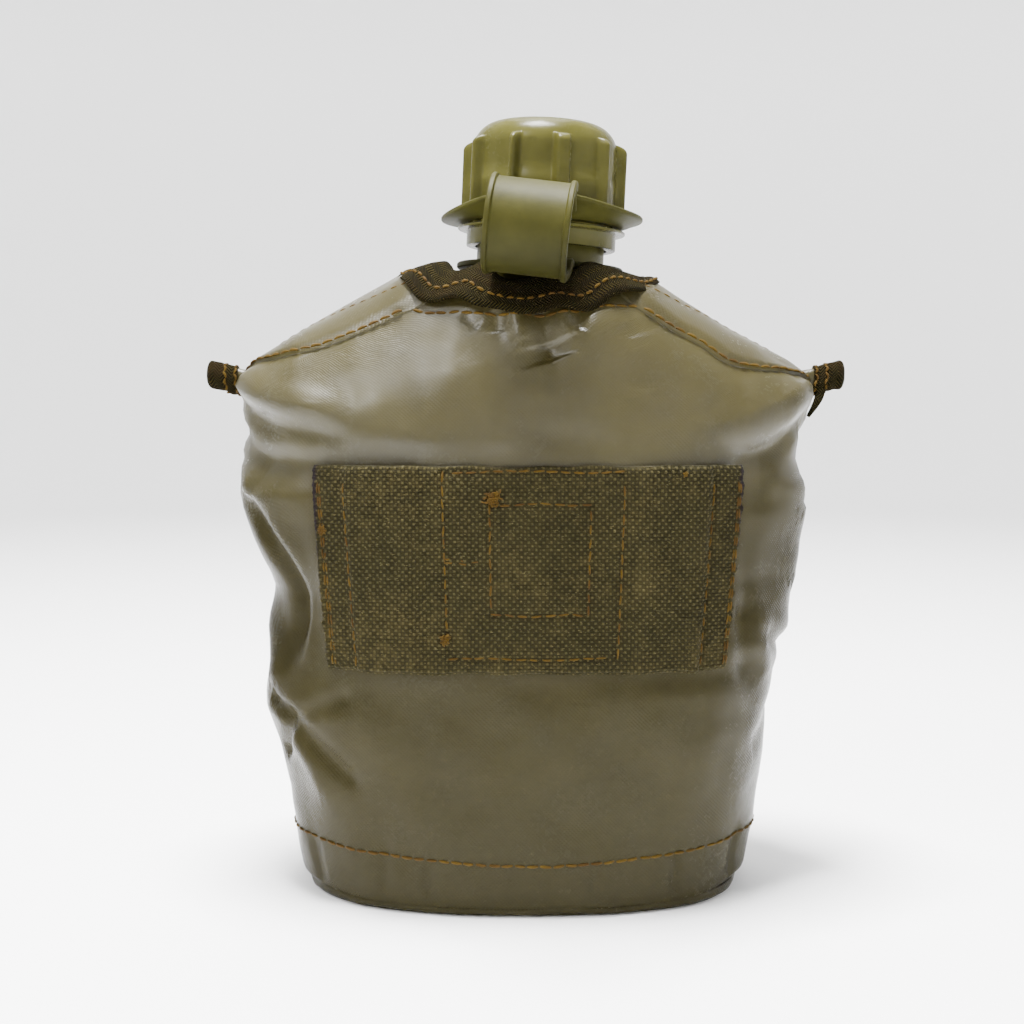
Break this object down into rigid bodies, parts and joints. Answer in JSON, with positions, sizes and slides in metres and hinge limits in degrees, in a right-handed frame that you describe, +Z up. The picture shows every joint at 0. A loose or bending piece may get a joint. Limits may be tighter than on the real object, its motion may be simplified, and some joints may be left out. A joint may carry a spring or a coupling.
{
  "type": "field canteen in cover",
  "caption": "Flat-backed plastic field canteen with a tethered screw cap, standing in a sewn coated-fabric cover with belt webbing and snap-closed shoulder flaps.",
  "frame": {"origin": "centre of the cover's base, on the surface that it stands on", "axes": "+Z up along the canteen, +X to the wearer's right as the webbing side is seen, -Y out of the side with the belt webbing"},
  "size_m": [0.17, 0.0918, 0.202],
  "materials": {
    "plastic": "blow-moulded and injection-moulded olive polyethylene, soft gloss",
    "strap_plastic": "flexible olive polyethylene, satin",
    "seal_rubber": "flat black sealing disc",
    "coated_fabric": "fine woven cloth with a worn semi-gloss olive coating",
    "binding_tape": "olive-brown herringbone tape",
    "webbing": "coarse dark olive basket-weave webbing, matt",
    "thread": "heavy twisted brown sewing thread",
    "snap_metal": "blackened metal",
    "brass": "dull brass"
  },
  "bodies": {
    "cover": {"bottle": "plastic", "neck_ring": "strap_plastic", "strap_band": "strap_plastic", "back_panel": "coated_fabric", "front_panel": "coated_fabric", "base_panel": "coated_fabric", "drain_eyelet": "brass", "drain_washer": "brass", "neck_binding": "binding_tape", "belt_webbing": "webbing", "left_flap_yoke": "coated_fabric", "right_flap_yoke": "coated_fabric", "left_snap_stud": "snap_metal", "left_snap_post": "snap_metal", "right_snap_stud": "snap_metal", "right_snap_post": "snap_metal"},
    "cap_ring": {"cap_ring": "strap_plastic"},
    "cap": {"cap": "plastic", "cap_seal": "seal_rubber"},
    "left_flap": {"left_flap": "coated_fabric", "left_flap_binding": "binding_tape", "left_binding_tail": "binding_tape", "left_snap_cap": "snap_metal", "left_snap_socket": "snap_metal"},
    "right_flap": {"right_flap": "coated_fabric", "right_flap_binding": "binding_tape", "right_binding_tail": "binding_tape", "right_snap_cap": "snap_metal", "right_snap_socket": "snap_metal"}
  },
  "joints": [
    {"name": "cap_rise", "type": "slide", "parent": "cover", "child": "cap_ring", "axis": [0.0436, 0, 0.999], "range_m": [0, 0.0075], "deforming": ["strap_band"]},
    {"name": "cap_turn", "type": "hinge", "parent": "cap_ring", "child": "cap", "pos_m": [0.00436, 0, 0.1799], "axis": [0.0436, 0, 0.999], "range_deg": [0, 540]},
    {"name": "left_flap_fold", "type": "hinge", "parent": "cover", "child": "left_flap", "pos_m": [-0.0754, 0, 0.13464], "axis": [0.8491, 0, 0.5283], "range_deg": [0, 150]},
    {"name": "right_flap_fold", "type": "hinge", "parent": "cover", "child": "right_flap", "pos_m": [0.0754, 0, 0.13464], "axis": [0.8491, 0, -0.5283], "range_deg": [0, 150]}
  ],
  "couplings": [
    {"joint": "cap_rise", "follows": "cap_turn", "m_per_rad": 0.000795}
  ]
}
